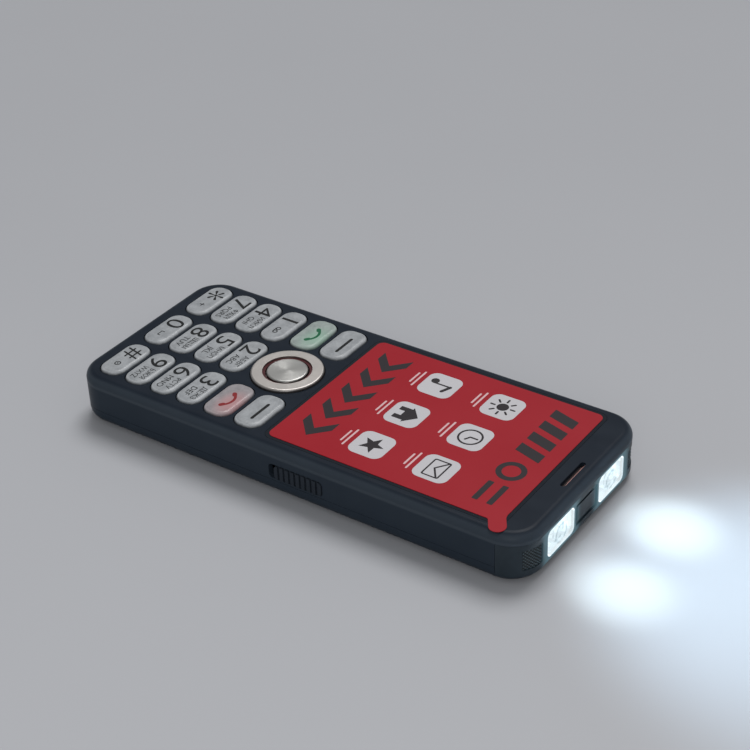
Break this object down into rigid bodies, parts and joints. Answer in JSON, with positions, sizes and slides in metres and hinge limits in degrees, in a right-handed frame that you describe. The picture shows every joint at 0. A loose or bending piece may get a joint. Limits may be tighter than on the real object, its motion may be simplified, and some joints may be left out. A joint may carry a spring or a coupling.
{
  "type": "feature phone",
  "caption": "Slim bar phone lying on its back: red film over the screen, domed number keys round a metal navigation ring, torches in the top end, a side slider and a sliding back cover.",
  "frame": {"origin": "middle of the back, on the surface that the phone lies on", "axes": "+X to the phone's right side, +Y along the phone towards its torch end, +Z out of the screen"},
  "size_m": [0.0553, 0.1296, 0.014],
  "materials": {
    "front_shell": "fine moulded texture, dark blue-black",
    "back_shell": "fine moulded texture, dark blue-black",
    "inner_shell": "plain moulded",
    "bezel": "satin, with knurled corners",
    "slider": "ribbed",
    "window_glass": "clear window with a black border",
    "film": "printed red film",
    "display": "unlit panel",
    "flex": "amber film",
    "board": "solder mask",
    "domes": "stamped",
    "rubber_mat": "silicone",
    "key_cap": "frosted clear cap over silver paint",
    "call_cap": "frosted clear cap with a green tint",
    "end_cap": "frosted clear cap with a red tint",
    "ring_metal": "brushed, bright rim",
    "ok_metal": "spun, bright rim",
    "red_trim": "dark red",
    "ear_mesh": "fine mesh",
    "torch_lens": "clear",
    "reflector": "plated",
    "light_chip": "lit",
    "battery_case": "sleeved cell",
    "contact_gold": "plated",
    "steel": "plain"
  },
  "bodies": {
    "phone": {"front_housing": "front_shell", "rear_housing": "inner_shell", "torch_bezel": "bezel", "display_window": "window_glass", "screen_film": "film", "lcd_panel": "display", "lcd_frame": "inner_shell", "lcd_flex": "flex", "main_board": "board", "dome_sheet": "domes", "keypad_mat": "rubber_mat", "earpiece_mesh": "ear_mesh", "earpiece_receiver": "inner_shell", "torch_lens_left": "torch_lens", "torch_lens_right": "torch_lens", "torch_reflector_left": "reflector", "torch_reflector_right": "reflector", "torch_led_left": "light_chip", "torch_led_right": "light_chip", "torch_board": "board", "torch_switch": "inner_shell", "battery": "battery_case", "battery_contacts": "contact_gold", "loudspeaker": "steel", "speaker_gasket": "rubber_mat", "vibration_motor": "steel", "sim_holder_left": "steel", "sim_holder_right": "steel", "shield_can": "steel", "charging_socket": "steel", "microphone": "steel", "antenna": "contact_gold", "housing_screws": "steel"},
    "key_1": {"key_1": "key_cap"},
    "key_2": {"key_2": "key_cap"},
    "key_3": {"key_3": "key_cap"},
    "key_4": {"key_4": "key_cap"},
    "key_5": {"key_5": "key_cap"},
    "key_6": {"key_6": "key_cap"},
    "key_7": {"key_7": "key_cap"},
    "key_8": {"key_8": "key_cap"},
    "key_9": {"key_9": "key_cap"},
    "key_star": {"key_star": "key_cap"},
    "key_0": {"key_0": "key_cap"},
    "key_hash": {"key_hash": "key_cap"},
    "soft_key_left": {"soft_key_left": "key_cap"},
    "soft_key_right": {"soft_key_right": "key_cap"},
    "call_key": {"call_key": "call_cap"},
    "end_key": {"end_key": "end_cap"},
    "nav_rocker": {"nav_rocker": "rubber_mat"},
    "nav_ring": {"nav_ring": "ring_metal", "nav_trim": "red_trim"},
    "ok_button": {"ok_button": "ok_metal"},
    "torch_slider": {"torch_slider": "slider"},
    "back_cover": {"back_cover": "back_shell"}
  },
  "joints": [
    {"name": "key_1_press", "type": "slide", "parent": "phone", "child": "key_1", "axis": [0, 0, -1], "range_m": [0, 0.0004], "stiffness_N_per_m": 150},
    {"name": "key_2_press", "type": "slide", "parent": "phone", "child": "key_2", "axis": [0, 0, -1], "range_m": [0, 0.0004], "stiffness_N_per_m": 150},
    {"name": "key_3_press", "type": "slide", "parent": "phone", "child": "key_3", "axis": [0, 0, -1], "range_m": [0, 0.0004], "stiffness_N_per_m": 150},
    {"name": "key_4_press", "type": "slide", "parent": "phone", "child": "key_4", "axis": [0, 0, -1], "range_m": [0, 0.0004], "stiffness_N_per_m": 150},
    {"name": "key_5_press", "type": "slide", "parent": "phone", "child": "key_5", "axis": [0, 0, -1], "range_m": [0, 0.0004], "stiffness_N_per_m": 150},
    {"name": "key_6_press", "type": "slide", "parent": "phone", "child": "key_6", "axis": [0, 0, -1], "range_m": [0, 0.0004], "stiffness_N_per_m": 150},
    {"name": "key_7_press", "type": "slide", "parent": "phone", "child": "key_7", "axis": [0, 0, -1], "range_m": [0, 0.0004], "stiffness_N_per_m": 150},
    {"name": "key_8_press", "type": "slide", "parent": "phone", "child": "key_8", "axis": [0, 0, -1], "range_m": [0, 0.0004], "stiffness_N_per_m": 150},
    {"name": "key_9_press", "type": "slide", "parent": "phone", "child": "key_9", "axis": [0, 0, -1], "range_m": [0, 0.0004], "stiffness_N_per_m": 150},
    {"name": "key_star_press", "type": "slide", "parent": "phone", "child": "key_star", "axis": [0, 0, -1], "range_m": [0, 0.0004], "stiffness_N_per_m": 150},
    {"name": "key_0_press", "type": "slide", "parent": "phone", "child": "key_0", "axis": [0, 0, -1], "range_m": [0, 0.0004], "stiffness_N_per_m": 150},
    {"name": "key_hash_press", "type": "slide", "parent": "phone", "child": "key_hash", "axis": [0, 0, -1], "range_m": [0, 0.0004], "stiffness_N_per_m": 150},
    {"name": "soft_key_left_press", "type": "slide", "parent": "phone", "child": "soft_key_left", "axis": [0, 0, -1], "range_m": [0, 0.0004], "stiffness_N_per_m": 150},
    {"name": "soft_key_right_press", "type": "slide", "parent": "phone", "child": "soft_key_right", "axis": [0, 0, -1], "range_m": [0, 0.0004], "stiffness_N_per_m": 150},
    {"name": "call_key_press", "type": "slide", "parent": "phone", "child": "call_key", "axis": [0, 0, -1], "range_m": [0, 0.0004], "stiffness_N_per_m": 150},
    {"name": "end_key_press", "type": "slide", "parent": "phone", "child": "end_key", "axis": [0, 0, -1], "range_m": [0, 0.0004], "stiffness_N_per_m": 150},
    {"name": "ok_button_press", "type": "slide", "parent": "phone", "child": "ok_button", "axis": [0, 0, -1], "range_m": [0, 0.0004], "stiffness_N_per_m": 150},
    {"name": "nav_tilt_up_down", "type": "hinge", "parent": "phone", "child": "nav_rocker", "pos_m": [0, -0.01869, 0.01095], "axis": [1, 0, 0], "range_deg": [-2.5, 2.5], "stiffness_Nm_per_rad": 0.01},
    {"name": "nav_tilt_left_right", "type": "hinge", "parent": "nav_rocker", "child": "nav_ring", "pos_m": [0, -0.01869, 0.01145], "axis": [0, 1, 0], "range_deg": [-2.5, 2.5], "stiffness_Nm_per_rad": 0.01},
    {"name": "torch_slide", "type": "slide", "parent": "phone", "child": "torch_slider", "axis": [0, -1, 0], "range_m": [0, 0.0016]},
    {"name": "back_cover_slide", "type": "slide", "parent": "phone", "child": "back_cover", "axis": [0, -1, 0], "range_m": [0, 0.006]}
  ]
}
